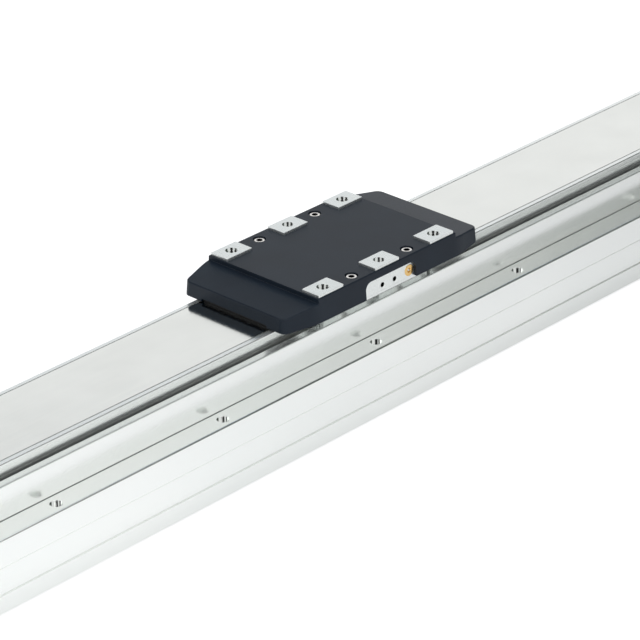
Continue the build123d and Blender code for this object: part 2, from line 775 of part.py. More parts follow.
write(bearing_outer_rings(drive_x, drive_bearing, bearing_seat_y), "drive_bearing_outer_rings")
write(bearing_inner_rings(drive_x, drive_bearing, bearing_seat_y), "drive_bearing_inner_rings")
write(bearing_balls(drive_x, drive_bearing, bearing_seat_y), "drive_bearing_balls")
write(bearing_shields(drive_x, drive_bearing, bearing_seat_y), "drive_bearing_shields")

ring_outer = drive_bearing[1] + retaining_ring_rise
retaining_rings_round = rings(drive_x, mirrored([(ring_outer, ring_outer - retaining_ring_width, bearing_face,
                                                  bearing_face + retaining_ring_thickness)]))
with BuildPart() as retaining_rings:
    add(retaining_rings_round.part)
    with Locations((drive_x, 0, axis_z - ring_outer)):
        Box(2 * retaining_ring_width, 2 * head_side, 4 * retaining_ring_width, mode=Mode.SUBTRACT)
write(retaining_rings, "retaining_rings")

# Motor flange on the near side, bearing cap on the far side
with BuildPart() as motor_flange:
    with BuildSketch(facing_y(NEAR, drive_x, -head_side, axis_z)):
        RectangleRounded(motor_flange_length, motor_flange_height, motor_flange_corner)
    extrude(amount=motor_flange_thickness)
    with BuildSketch(facing_y(NEAR, drive_x, -head_side, axis_z)):
        Circle(drive_bearing[1] - seat_gap)
    extrude(amount=-motor_flange_pilot)
    with Locations((drive_x, -head_side, axis_z)):
        Cylinder(motor_flange_bore_radius, 4 * motor_flange_thickness, rotation=(90, 0, 0),
                 mode=Mode.SUBTRACT)
    with Locations(facing_y(NEAR, drive_x, -motor_face, axis_z)):
        with PolarLocations(motor_bolt_circle / 2, 4, start_angle=90):
            Hole(motor_bolt_core / 2, motor_flange_thickness)
    with Locations(*motor_screw_planes):
        CounterBoreHole(m5_screw[0] + clearance, m5_screw[1] + clearance, m5_screw[2],
                        motor_flange_thickness)
write(motor_flange, "motor_flange")

motor_screw_seats = [Plane(origin=(p.origin.X, p.origin.Y + m5_screw[2], p.origin.Z), z_dir=(0, -1, 0))
                     for p in motor_screw_planes]
motor_screw = cap_screw(m5_screw, motor_flange_thickness - m5_screw[2] + 10)
write(screw_group(motor_screw, motor_screw_seats), "motor_flange_screws")

bearing_cap = rings(drive_x, [(bearing_cap_radius, 0, head_side, head_side + bearing_cap_thickness),
                              (drive_bearing[1] - seat_gap, 0, head_side - bearing_cap_plug, head_side)])
with BuildPart() as bearing_cap_rounded:
    add(bearing_cap.part)
    fillet(bearing_cap_rounded.edges().filter_by(GeomType.CIRCLE).sort_by(Axis.Y)[-1],
           bearing_cap_thickness / 3)
write(bearing_cap_rounded, "bearing_cap")

# Toothed belt: a closed band round both pulleys
with BuildPart() as toothed_belt:
    with BuildSketch(Plane(origin=((drive_x + idler_x) / 2, 0, axis_z), x_dir=(1, 0, 0), z_dir=(0, 1, 0))):
        SlotCenterToCenter(idler_x - drive_x, 2 * belt_outer_radius)
        SlotCenterToCenter(idler_x - drive_x, 2 * belt_inner_radius, mode=Mode.SUBTRACT)
    extrude(amount=belt_width / 2, both=True)
write(toothed_belt, "toothed_belt")

# Tension yoke with the idler pulley
with BuildPart() as tension_yoke:
    yoke_back = idler_x + yoke_web_start + yoke_web_thickness
    with Locations(((idler_x - yoke_front + yoke_back) / 2, 0, (bay_bottom + bay_top) / 2)):
        Box(yoke_back - idler_x + yoke_front, 2 * yoke_half, bay_top - bay_bottom - 2 * yoke_slide_gap)
    front_edges = [e for e in tension_yoke.edges().filter_by(Axis.Y) if e.center().X < idler_x]
    fillet(front_edges, yoke_corner)
    with Locations((idler_x + yoke_web_start, 0, (bay_bottom + bay_top) / 2)):
        Box(4 * yoke_web_start, 2 * yoke_cheek_face, bay_top,
            align=(Align.MAX, Align.CENTER, Align.CENTER), mode=Mode.SUBTRACT)
    with Locations((idler_x, 0, axis_z)):
        Cylinder(axle_radius + seat_gap, 4 * yoke_half, rotation=(90, 0, 0), mode=Mode.SUBTRACT)
    screw_holes(m6_screw, [facing_x(IDLER_END, yoke_back, side * tension_screw_y, axis_z)
                           for side in (NEAR, FAR)], 2 * yoke_web_thickness)
write(tension_yoke, "tension_yoke")

bearing_inner_face = pulley_shoulder
bearing_outer_face = pulley_shoulder + idler_bearing[2]
write(rings(idler_x, [(axle_radius, 0, -yoke_half, yoke_half)]), "idler_axle")
write(rings(idler_x, mirrored([(axle_radius + idler_bearing[3], axle_radius + seat_gap,
                                bearing_outer_face, yoke_cheek_face)])), "idler_spacers")
write(bearing_inner_rings(idler_x, idler_bearing, bearing_inner_face), "idler_bearing_inner_rings")
write(bearing_outer_rings(idler_x, idler_bearing, bearing_inner_face), "idler_bearing_outer_rings")
write(bearing_balls(idler_x, idler_bearing, bearing_inner_face), "idler_bearing_balls")

idler_wheel = toothed_wheel(idler_x, pulley_bore_radius)
with BuildPart() as idler_pulley:
    add(idler_wheel.part)
    for side in (NEAR, FAR):
        with Locations((idler_x, side * (pulley_shoulder + pulley_half) / 2, axis_z)):
            Cylinder(idler_bearing[1] + seat_gap, pulley_half - pulley_shoulder, rotation=(90, 0, 0),
                     mode=Mode.SUBTRACT)
write(idler_pulley, "idler_pulley")
write(pulley_flanges(idler_x), "idler_pulley_flanges")

for plane, name in zip(tension_screw_planes, ("tension_screw_near", "tension_screw_far")):
    write(screw_group(cap_screw(m6_screw, tension_screw_shank), [plane]), name)

# Carriage frame
block_xs = [carriage_x + step * block_offset for step in (-1, 1)]
block_screw_planes = [up(x + step_x * block_bolt_spacing / 2,
                         side * rail_y + step_y * block_bolt_spacing / 2, frame_top - m4_screw[2])
                      for x in block_xs for side in (NEAR, FAR)
                      for step_x in (-1, 1) for step_y in (-1, 1)]
clamp_xs = [carriage_x + step * (clamp_start + clamp_length / 2) for step in (-1, 1)]
clamp_screw_y = clamp_half_width - clamp_leg_width / 2
clamp_screw_planes = [up(x + step * clamp_screw_spacing / 2, side * clamp_screw_y, clamp_top)
                      for x in clamp_xs for step in (-1, 1) for side in (NEAR, FAR)]
plate_screw_planes = [up(carriage_x + step * plate_screw_spacing_x / 2,
                         side * plate_screw_spacing_y / 2, hood_top - plate_screw_sink - m5_screw[2])
                      for step in (-1, 1) for side in (NEAR, FAR)]

with BuildPart() as carriage_frame:
    with BuildSketch(Plane.XY.offset(block_top)):
        with Locations((carriage_x, 0)):
            Rectangle(2 * frame_half_length, 2 * web_outer)
            Rectangle(2 * frame_stop_half_length, 2 * frame_stop_half_width)
    extrude(amount=frame_plate_thickness)
    with BuildSketch(Plane.YZ.offset(carriage_x)):
        for side in (NEAR, FAR):
            with Locations((side * (web_inner + web_thickness / 2), (block_top + plate_bottom) / 2)):
                Rectangle(web_thickness, plate_bottom - block_top)
            with Locations((side * (web_inner + web_flange_width / 2),
                            plate_bottom - web_flange_thickness / 2)):
                Rectangle(web_flange_width, web_flange_thickness)
    extrude(amount=web_half_length, both=True)
    with Locations(*[up(p.origin.X, p.origin.Y, frame_top) for p in block_screw_planes]):
        CounterBoreHole(m4_screw[0] + shank_gap, m4_screw[1] + clearance, m4_screw[2],
                        frame_plate_thickness)
    screw_holes(m5_screw, [up(p.origin.X, p.origin.Y, plate_bottom) for p in plate_screw_planes],
                web_flange_thickness)
    screw_holes(m4_screw, [up(p.origin.X, p.origin.Y, frame_top) for p in clamp_screw_planes],
                frame_plate_thickness)
write(carriage_frame, "carriage_frame")

block_screw = cap_screw(m4_screw, frame_plate_thickness - m4_screw[2] + block_bolt_depth - 0.5)
write(screw_group(block_screw, block_screw_planes), "runner_block_screws")


# Runner blocks: steel bodies that straddle the rails, with plastic end caps
def block_section(side, width, top):
    """Draws the saddle shape of a runner block round its rail, in the sketch that is being built."""
    with Locations((side * rail_y, (block_bottom + top) / 2)):
        Rectangle(width, top - block_bottom)
    channel_top = rail_top + block_rail_gap
    with Locations((side * rail_y, (block_bottom + channel_top) / 2)):
        Rectangle(rail_width + 2 * block_rail_gap, channel_top - block_bottom, mode=Mode.SUBTRACT)


for x, end_name in zip(block_xs, ("drive_end", "tension_end")):
    for side, side_name in ((NEAR, "near"), (FAR, "far")):
        with BuildPart() as runner_block:
            with BuildSketch(Plane.YZ.offset(x)):
                block_section(side, block_width, block_top)
            extrude(amount=block_steel_length / 2, both=True)
            screw_holes(m4_screw, [up(p.origin.X, p.origin.Y, block_top) for p in block_screw_planes
                                   if abs(p.origin.X - x) < block_width and p.origin.Y * side > 0],
                        block_bolt_depth)
        write(runner_block, f"runner_block_{end_name}_{side_name}")

with BuildPart() as runner_end_caps:
    for x in block_xs:
        for side in (NEAR, FAR):
            for step in (-1, 1):
                with BuildSketch(Plane.YZ.offset(x + step * (block_steel_length + block_cap_length) / 2)):
                    block_section(side, block_width - 2 * block_cap_inset, block_top - block_cap_inset)
                extrude(amount=block_cap_length / 2, both=True)
write(runner_end_caps, "runner_end_caps")

# Belt clamps: a toothed plate under the belt and a bridge over it, at each end of the belt
with BuildPart() as lower_clamps:
    for x in clamp_xs:
        tooth_floor = belt_inner_z - running_gap - belt_tooth_height * 0.7
        with Locations((x, 0, frame_top)):
            Box(clamp_length, belt_width, tooth_floor - frame_top,
                align=(Align.CENTER, Align.CENTER, Align.MIN))
        ridges = int(clamp_length // belt_pitch)
        with Locations((x, 0, tooth_floor)):
            with GridLocations(belt_pitch, belt_pitch, ridges, 1):
                Box(clamp_ridge_width, belt_width, belt_inner_z - running_gap - tooth_floor,
                    align=(Align.CENTER, Align.CENTER, Align.MIN))
write(lower_clamps, "belt_clamps_lower")

with BuildPart() as upper_clamps:
    for x in clamp_xs:
        with BuildSketch(Plane.YZ.offset(x)):
            with Locations((0, (frame_top + clamp_top) / 2)):
                Rectangle(2 * clamp_half_width, clamp_top - frame_top)
            with Locations((0, (frame_top + clamp_tunnel_top) / 2)):
                Rectangle(belt_width + 2 * running_gap, clamp_tunnel_top - frame_top, mode=Mode.SUBTRACT)
        extrude(amount=clamp_length / 2, both=True)
    sunk_holes(m4_screw, clamp_screw_planes, clamp_top - frame_top)
write(upper_clamps, "belt_clamps_upper")
clamp_screw = countersunk_screw(m4_screw, clamp_top - block_top - 1)
write(screw_group(clamp_screw, clamp_screw_planes), "belt_clamp_screws")

# Carriage plate with six pads; a half turn about its middle brings its near side on to its far side
pad_xs = [carriage_x + step * pad_pitch for step in (-1, 0, 1)]
pad_places = [(x, side * pad_row_spacing / 2) for x in pad_xs for side in (NEAR, FAR)]
corner_places = [p for p in pad_places if p[0] != carriage_x]
centre_places = [p for p in pad_places if p[0] == carriage_x]
plate_side = plate_width / 2
cam_planes = [facing_y(side, carriage_x - side * (cam_holes_x + step * cam_hole_spacing / 2),
                       side * plate_side, plate_bottom + cam_holes_height)
              for side in (NEAR, FAR) for step in (-1, 1)]
nipple_planes = [facing_y(side, carriage_x - side * nipple_x, side * plate_side, plate_bottom + nipple_height)
                 for side in (NEAR, FAR)]

with BuildPart() as carriage_plate:
    with Locations((carriage_x, 0, plate_bottom)):
        Box(plate_length, plate_width, plate_thickness, align=(Align.CENTER, Align.CENTER, Align.MIN))
    with BuildSketch(Plane.XY.offset(plate_top)):
        with Locations(*pad_places):
            RectangleRounded(pad_length, pad_width, pad_corner)
    extrude(amount=pad_top - plate_top)
    with BuildSketch(Plane.XY.offset(pad_top)):
        with Locations(*corner_places):
            Circle(pad_thread_core / 2)
    extrude(amount=-pad_thread_depth, mode=Mode.SUBTRACT)
    with Locations(*[(x, y, pad_top) for x, y in corner_places]):
        Cone(pad_thread_core / 2, pad_thread_core / 2 + pad_countersink_width, pad_countersink_depth,
             align=(Align.CENTER, Align.CENTER, Align.MAX), mode=Mode.SUBTRACT)
    with BuildSketch(Plane.XY.offset(pad_top)):
        with Locations(*centre_places):
            Circle(pad_bore_diameter / 2)
    extrude(amount=-pad_bore_depth, mode=Mode.SUBTRACT)
    bore_rims = [e for e in carriage_plate.edges().filter_by(GeomType.CIRCLE)
                 if e.center().Z > pad_top - 0.01 and abs(e.radius - pad_bore_diameter / 2) < 0.01]
    chamfer(bore_rims, pad_bore_chamfer)
    with Locations(*plate_screw_planes):
        Cylinder(m5_screw[1] + clearance, 2 * m5_screw[2], mode=Mode.SUBTRACT,
                 align=(Align.CENTER, Align.CENTER, Align.MIN))
        Cylinder(m5_screw[0] + shank_gap, 2 * plate_thickness, mode=Mode.SUBTRACT,
                 align=(Align.CENTER, Align.CENTER, Align.MAX))
    with Locations(*cam_planes):
        Hole(cam_hole_core / 2, cam_hole_depth)
        Cone(cam_hole_core / 2, cam_hole_core / 2 + cam_countersink_width, cam_countersink_depth,
             align=(Align.CENTER, Align.CENTER, Align.MAX), mode=Mode.SUBTRACT)
    with Locations(*nipple_planes):
        Hole(nipple_stem_radius + seat_gap, nipple_stem_length + clearance)
write(carriage_plate, "carriage_plate")

write(screw_group(cap_screw(m5_screw, plate_screw_length), plate_screw_planes), "carriage_screws")

for plane, name in zip(nipple_planes, ("grease_nipple_near", "grease_nipple_far")):
    with BuildPart() as grease_nipple:
        with Locations(plane):
            Cylinder(nipple_radius, nipple_rise, align=(Align.CENTER, Align.CENTER, Align.MIN))
            Cylinder(nipple_stem_radius, nipple_stem_length, align=(Align.CENTER, Align.CENTER, Align.MAX))
        outer_rim = grease_nipple.edges().filter_by(GeomType.CIRCLE).sort_by(
            lambda e: abs(e.center().Y))[-1]
        chamfer(outer_rim, nipple_rise / 3)
        with Locations(Plane(origin=plane.origin + plane.z_dir * nipple_rise, z_dir=plane.z_dir)):
            Cone(nipple_ball_radius, nipple_cone_radius, nipple_cone_depth,
                 align=(Align.CENTER, Align.CENTER, Align.MAX), mode=Mode.SUBTRACT)
            Cylinder(nipple_ball_radius, nipple_stem_length / 2 + nipple_cone_depth,
                     align=(Align.CENTER, Align.CENTER, Align.MAX), mode=Mode.SUBTRACT)
    write(grease_nipple, name)


# Carriage hood
def hood_outline(end_inset, side_inset):
    """Draws the hood's outline, drawn in at its ends and sides, in the sketch that is being built."""
    length = hood_half_length - end_inset
    side = hood_half_width - side_inset
    end = hood_end_half_width - side_inset
    corners = [(length, -end), (length, end), (hood_bend, side), (-hood_bend, side),
               (-length, end), (-length, -end), (-hood_bend, -side), (hood_bend, -side)]
    with Locations((carriage_x, 0)):
        outline = Polygon(*corners, align=None)
    return outline


with BuildPart() as carriage_hood:
    for height, end_inset, side_inset in ((plate_bottom, 0.0, 0.0),
                                          (hood_top, hood_end_draft, hood_side_draft)):
        with BuildSketch(Plane.XY.offset(height)) as outline_sketch:
            hood_outline(end_inset, side_inset)
            ends = [v for v in outline_sketch.vertices() if abs(v.X - carriage_x) > hood_bend + 1]
            fillet(ends, hood_corner_radius)
            bends = [v for v in outline_sketch.vertices()
                     if abs(abs(v.X - carriage_x) - hood_bend) < 0.01]
            fillet(bends, hood_bend_radius)
    loft(ruled=True)
    step_height = hood_top - hood_step_drop
    end_height = plate_bottom + hood_slope_end_height
    beyond = hood_half_length + 10
    drop_beyond = (step_height - end_height) * (beyond - hood_step_x) / (hood_half_length - hood_step_x)
    with BuildSketch(Plane.XZ):
        for step in (-1, 1):
            roof_cut = [(carriage_x + step * hood_step_x, hood_top + 1),
                        (carriage_x + step * hood_step_x, step_height),
                        (carriage_x + step * beyond, step_height - drop_beyond),
                        (carriage_x + step * beyond, hood_top + 1)]
            Polygon(*roof_cut, align=None)
    extrude(amount=2 * hood_half_width, both=True, mode=Mode.SUBTRACT)
    roof_faces = [f for f in carriage_hood.faces() if f.normal_at(f.center()).Z > 0.9]
    roof_edges = [e for f in roof_faces for e in f.edges()
                  if abs(abs(e.center().X - carriage_x) - hood_step_x) > 0.01]
    fillet(roof_edges, hood_edge_radius)
    with Locations((carriage_x, 0, plate_bottom)):
        Box(plate_length + 2 * hood_pocket_gap, plate_width + 2 * hood_pocket_gap, 2 * plate_thickness,
            mode=Mode.SUBTRACT)
    for step in (-1, 1):
        inner = plate_length / 2 + hood_pocket_gap
        outer = hood_half_length - hood_wall
        with Locations((carriage_x + step * (inner + outer) / 2, 0, plate_bottom)):
            Box(outer - inner, 2 * (hood_end_half_width - hood_wall), 2 * (hood_slope_end_height - hood_wall),
                mode=Mode.SUBTRACT)
    with BuildSketch(Plane.YZ.offset(carriage_x)) as arch_sketch:
        with Locations((0, plate_bottom)):
            Rectangle(hood_arch_width, 2 * hood_arch_height)
        fillet([v for v in arch_sketch.vertices() if v.Y > plate_bottom], hood_arch_corner)
    extrude(amount=2 * hood_half_length, both=True, mode=Mode.SUBTRACT)
    with BuildSketch(Plane.XY.offset(hood_top)):
        with Locations(*pad_places):
            RectangleRounded(pad_length + 2 * hood_pocket_gap, pad_width + 2 * hood_pocket_gap,
                             pad_corner + hood_pocket_gap)
        with Locations(*[(p.origin.X, p.origin.Y) for p in plate_screw_planes]):
            Circle(hood_screw_hole_diameter / 2)
    extrude(amount=-2 * hood_roof, mode=Mode.SUBTRACT)
    for side in (NEAR, FAR):
        with BuildSketch(facing_y(side, carriage_x, 0, plate_bottom)) as window_sketch:
            with Locations(((window_left + window_right) / 2, 0)):
                Rectangle(window_right - window_left, 2 * window_height)
            fillet([v for v in window_sketch.vertices() if v.Y > 0], window_corner)
        extrude(amount=2 * hood_half_width, mode=Mode.SUBTRACT)
write(carriage_hood, "carriage_hood")

# Band scrapers inside the hood's ends
for step, name in ((-1, "band_scraper_drive_end"), (1, "band_scraper_tension_end")):
    with BuildPart() as band_scraper:
        outer = carriage_x + step * (hood_half_length - hood_wall)
        bottom = band_top + running_gap / 3
        with Locations((outer - step * scraper_thickness / 2, 0, bottom)):
            Box(scraper_thickness, scraper_width, plate_bottom + hood_slope_end_height - hood_wall - bottom,
                align=(Align.CENTER, Align.CENTER, Align.MIN))
    write(band_scraper, name)
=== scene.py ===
import math

import bpy
import numpy as np
from mathutils import Matrix, Vector


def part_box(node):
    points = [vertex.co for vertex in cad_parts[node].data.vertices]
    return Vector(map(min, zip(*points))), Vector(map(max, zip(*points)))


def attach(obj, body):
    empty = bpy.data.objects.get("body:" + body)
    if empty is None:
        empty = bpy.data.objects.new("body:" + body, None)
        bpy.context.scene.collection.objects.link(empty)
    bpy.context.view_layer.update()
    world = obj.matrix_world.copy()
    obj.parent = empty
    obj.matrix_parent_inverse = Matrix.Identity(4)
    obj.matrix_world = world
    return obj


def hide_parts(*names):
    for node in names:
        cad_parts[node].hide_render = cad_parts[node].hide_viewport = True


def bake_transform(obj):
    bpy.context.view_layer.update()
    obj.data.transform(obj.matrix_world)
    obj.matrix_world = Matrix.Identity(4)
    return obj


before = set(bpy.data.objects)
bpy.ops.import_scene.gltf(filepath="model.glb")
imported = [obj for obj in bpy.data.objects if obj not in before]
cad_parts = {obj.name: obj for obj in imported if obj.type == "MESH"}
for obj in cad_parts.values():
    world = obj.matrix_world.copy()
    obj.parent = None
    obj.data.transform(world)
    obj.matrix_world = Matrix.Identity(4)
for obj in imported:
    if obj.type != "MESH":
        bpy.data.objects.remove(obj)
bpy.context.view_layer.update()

MM = 0.001

# What noise is taken to run between, and how far a finish's colour follows its marks rather than its clouds.
NOISE_LOW, NOISE_HIGH = 0.3, 0.7
MARKS_IN_COLOUR = 0.35

# The cosine between a face and its rounded edge at which the edge colour, partly wear and partly painted
# highlight, is at its full share.
FULL_WEAR_AND_HIGHLIGHT = 0.8

# The wall of a glossy bore: its roughness, and the share by which its rings change its lean. It starts this
# many mm under its mouth.
BORE_ROUGHNESS, BORE_RINGS, BORE_START = 0.06, 0.1, 0.05


# Places on the object, in mm

def middle(node):
    """The middle of a node's box."""
    lowest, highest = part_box(node)
    return [round((low + high) / 2 / MM, 4) for low, high in zip(lowest, highest)]


def furthest(node):
    """The highest X, Y and Z of a node."""
    return [round(high / MM, 4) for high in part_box(node)[1]]


# The carriage: its middle, its tapped and bored pads, its cap screws, and the tapped holes in its sides. They
# stand one step to one side of its middle and two to the other.
carriage_x = middle("carriage_plate")[0]
pad_top = furthest("carriage_plate")[2]
pad_pitch, pad_out, pad_core, pad_thread = 60.0, 46.5, 4.25, 1.5
screw_pitch, screw_out, screw_socket = 60.0, 46.9, 2.4
plate_side, side_hole_height, side_hole_step = 54.2, 95.05, 4.4
side_hole_core, side_hole_thread = 1.65, 0.7

# The ledges' fixing holes.
ledge_top, ledge_hole_pitch, ledge_hole_out = 55.3, 160.0, 60.0

# The ball in the mouth of a grease nipple: how far from the carriage's middle, from the slide's middle and
# above the floor it sits, and its radius.
nipple_aside, nipple_out, nipple_height, nipple_ball = 24.3, 53.1, 96.5, 1.25

# The belt: its pitch, its pulleys' teeth and axes, the heights of its two faces over its pitch line, half its
# width, and its round teeth, by half their width and the straight part of their flanks.
belt_pitch, pulley_teeth = 5.0, 32
drive_axis_x, pulley_axis_z = middle("drive_pulley")[0], middle("drive_pulley")[2]
straight_teeth = round((middle("idler_pulley")[0] - drive_axis_x) / belt_pitch)
pitch_radius = pulley_teeth * belt_pitch / (2 * math.pi)
belt_inside, belt_outside, belt_half_width = -0.571, 1.169, furthest("toothed_belt")[1]
tooth_half, tooth_flank = 1.3, 0.76


# Colours and nodes

def linear(hex_colour):
    """A written sRGB colour as linear red, green, blue and 1 for alpha."""
    parts = [int(hex_colour[i:i + 2], 16) / 255 for i in (1, 3, 5)]
    return [p / 12.92 if p <= 0.04045 else ((p + 0.055) / 1.055) ** 2.4 for p in parts] + [1.0]


def add(tree, kind, values=None, links=None, **settings):
    """Adds one shader node: its settings, the values of its sockets, and the links that feed them."""
    made = tree.nodes.new("ShaderNode" + kind)
    for name, value in settings.items():
        setattr(made, name, value)
    for socket, value in (values or {}).items():
        made.inputs[socket].default_value = value
    for socket, source in (links or {}).items():
        tree.links.new(source, made.inputs[socket])
    return made


def empty_material(name):
    """A material with nothing in its tree."""
    material = bpy.data.materials.new(name)
    material.use_nodes = True
    material.node_tree.nodes.clear()
    return material


def bore_walls(tree, place, finish, row):
    """The colour, roughness and normal of a finish, changed on the walls of a row of bores.

    The row is (upright, pitch along X, first X, level, radius, mouth, ring, slope, tone), in mm. level is the
    distance of an upright bore's axis from the middle, on both sides, or the height of one across. The walls
    are what lies within the radius of an axis and under the mouth, and take the tone, a painted shade darker
    than the face round them. Where there is a slope, they are glossy, and their normals point at the axis and
    lean towards the mouth by about the slope, more and less with every ring.
    """
    upright, pitch, first, level, radius, mouth, ring, slope, tone = row
    colour, gloss, normal = finish
    axes = add(tree, "SeparateXYZ", links={"Vector": place}).outputs
    outward = add(tree, "Math", links={0: axes["Y"]}, operation="ABSOLUTE").outputs["Value"]
    radial, axial = (outward, axes["Z"]) if upright else (axes["Z"], outward)
    shifted = add(tree, "Math", {1: first * MM}, {0: axes["X"]}, operation="SUBTRACT")
    along = add(tree, "Math", {1: pitch / 2 * MM, 2: -pitch / 2 * MM}, {0: shifted.outputs["Value"]},
                operation="WRAP").outputs["Value"]
    beside = add(tree, "Math", {1: level * MM}, {0: radial}, operation="SUBTRACT").outputs["Value"]
    from_axis = add(tree, "CombineXYZ", links={"X": along, "Y": beside}).outputs["Vector"]
    distance = add(tree, "VectorMath", links={0: from_axis}, operation="LENGTH")
    near = add(tree, "Math", {1: radius * MM}, {0: distance.outputs["Value"]}, operation="LESS_THAN")
    depth = add(tree, "Math", {0: mouth * MM}, {1: axial}, operation="SUBTRACT").outputs["Value"]
    under = add(tree, "Math", {1: BORE_START * MM}, {0: depth}, operation="GREATER_THAN")
    inside = add(tree, "Math", links={0: near.outputs["Value"], 1: under.outputs["Value"]},
                 operation="MULTIPLY").outputs["Value"]
    # The walls take the tone: painted shade inside the bore.
    colour = add(tree, "Mix", {7: linear(tone)}, {0: inside, 6: colour}, data_type="RGBA").outputs[2]
    if not slope:
        return colour, gloss, normal
    gloss = add(tree, "Mix", {3: BORE_ROUGHNESS}, {0: inside, 2: gloss}).outputs[0]
    far = add(tree, "Math", links={0: axes["Y"]}, operation="SIGN")
    sideways = add(tree, "Math", links={0: beside, 1: far.outputs["Value"]}, operation="MULTIPLY")
    wave = add(tree, "Math", {1: ring / 2 * MM}, {0: depth}, operation="PINGPONG")
    steepness = slope * radius * MM
    lean = add(tree, "MapRange", {"From Max": ring / 2 * MM, "To Min": -(1 - BORE_RINGS) * steepness,
                                  "To Max": -(1 + BORE_RINGS) * steepness}, {"Value": wave.outputs["Value"]})
    away = add(tree, "CombineXYZ", links={"X": along, "Y": sideways.outputs["Value"],
                                          "Z": lean.outputs["Result"]})
    inward = add(tree, "VectorMath", {1: (-1.0, -1.0, -1.0)}, {0: away.outputs["Vector"]},
                 operation="MULTIPLY")
    unit = add(tree, "VectorMath", links={0: inward.outputs["Vector"]}, operation="NORMALIZE")
    placed = add(tree, "VectorTransform", links={"Vector": unit.outputs["Vector"]}, vector_type="NORMAL",
                 convert_from="OBJECT", convert_to="WORLD")
    normal = add(tree, "Mix", links={0: inside, 4: normal, 5: placed.outputs["Vector"]},
                 data_type="VECTOR").outputs[1]
    return colour, gloss, normal


def surface(name, tones, grain, cloud, roughness, height, metallic=0.0, edge=None, bores=(), **sockets):
    """One finish, on the object's own coordinates.

    tones are two colours that a soft cloud mixes, cloud mm across. grain is the size in mm of the marks of
    making along X, Y and Z: long in the direction in which they run. Roughness goes between its two values,
    and the surface rises by height mm, with the grain. edge is (radius in mm, colour, share): edges look
    rounded by the radius and take that share of the colour, partly as where a finish is thin or has wear and
    partly as a painted highlight. bores has the rows of bores whose walls look different, with painted shade.
    """
    material = empty_material(name)
    tree = material.node_tree
    place = add(tree, "TexCoord").outputs["Object"]
    stretched = add(tree, "Mapping", {"Scale": [1 / (size * MM) for size in grain]}, {"Vector": place})
    marks = add(tree, "TexNoise", {"Scale": 1.0, "Detail": 3.0, "Roughness": 0.6},
                {"Vector": stretched.outputs["Vector"]}).outputs["Fac"]
    patches = add(tree, "TexNoise", {"Scale": 1 / (cloud * MM), "Detail": 2.0},
                  {"Vector": place}).outputs["Fac"]
    both = add(tree, "Mix", {0: MARKS_IN_COLOUR}, {2: patches, 3: marks}).outputs[0]
    mixing = add(tree, "MapRange", {"From Min": NOISE_LOW, "From Max": NOISE_HIGH},
                 {"Value": both}).outputs["Result"]
    colour = add(tree, "Mix", {6: linear(tones[0]), 7: linear(tones[1])}, {0: mixing},
                 data_type="RGBA").outputs[2]
    gloss = add(tree, "MapRange", {"From Min": NOISE_LOW, "From Max": NOISE_HIGH, "To Min": roughness[0],
                                   "To Max": roughness[1]}, {"Value": marks}).outputs["Result"]
    bump = add(tree, "Bump", {"Strength": 1.0, "Distance": height * MM}, {"Height": marks})
    if edge:
        radius, edge_colour, share = edge
        rounded = add(tree, "Bevel", {"Radius": radius * MM}, samples=6).outputs["Normal"]
        flat = add(tree, "NewGeometry").outputs["Normal"]
        facing = add(tree, "VectorMath", links={0: rounded, 1: flat},
                     operation="DOT_PRODUCT").outputs["Value"]
        # The edge colour is partly wear and partly a painted highlight.
        wear_and_highlight = add(tree, "MapRange", {"From Min": 1.0, "From Max": FULL_WEAR_AND_HIGHLIGHT, "To Max": share},
                   {"Value": facing}).outputs["Result"]
        colour = add(tree, "Mix", {7: linear(edge_colour)}, {0: wear_and_highlight, 6: colour}, data_type="RGBA").outputs[2]
        tree.links.new(rounded, bump.inputs["Normal"])
    finish = (colour, gloss, bump.outputs["Normal"])
    for row in bores:
        finish = bore_walls(tree, place, finish, row)
    colour, gloss, normal = finish
    values = {"Metallic": metallic, **sockets}
    shader = add(tree, "BsdfPrincipled", values, {"Base Color": colour, "Roughness": gloss, "Normal": normal})
    add(tree, "OutputMaterial", links={"Surface": shader.outputs["BSDF"]})
    return material


def dress(material, *names):
    """Gives CAD nodes their finish."""
    for name in names:
        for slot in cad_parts[name].material_slots:
            slot.material = material


# Finishes

# Clear-anodised extrusion: fine die lines run along the profile, so its shine is satin and a little streaked.
# Its fixing holes show the drill's rings, drawn coarser than they are so that they show, and their walls are
# painted a little darker than the face, as shade in the holes.
extrusion = surface("clear_anodised_extrusion", ("#F5F8F6", "#F9FBF9"), (260, 1.3, 1.3), 120,
                    (0.20, 0.22), 0.0002, metallic=0.95,
                    bores=[(True, ledge_hole_pitch, 0.0, ledge_hole_out, 4.8, ledge_top, 1.0, 0.7,
                            "#DCDFDC")])

# The cover bar is brushed before anodising, so it is duller than the extrusion beside it.
brushed_anodised = surface("brushed_anodised_bar", ("#F0F3F1", "#F5F8F6"), (140, 0.9, 0.9), 60,
                           (0.24, 0.28), 0.0004, metallic=0.85)

# Rolled stainless band, finely brushed lengthwise: warm grey, glossy enough to mirror the hood above it.
rolled_stainless = surface("rolled_stainless_band", ("#E1E3E0", "#E9EBE8"), (90, 0.8, 0.8), 45,
                           (0.10, 0.16), 0.0008, metallic=1.0)

# Black shell with a fine spark-eroded texture: matte, a touch blue, with soft rounded edges that catch the
# light, and a lighter colour painted on them as a highlight.
textured_black = surface("textured_black_shell", ("#0F1924", "#15212D"), (0.9, 0.9, 0.9), 30,
                         (0.36, 0.44), 0.012, edge=(0.7, "#4A4F58", 0.3), **{"Specular IOR Level": 0.24})

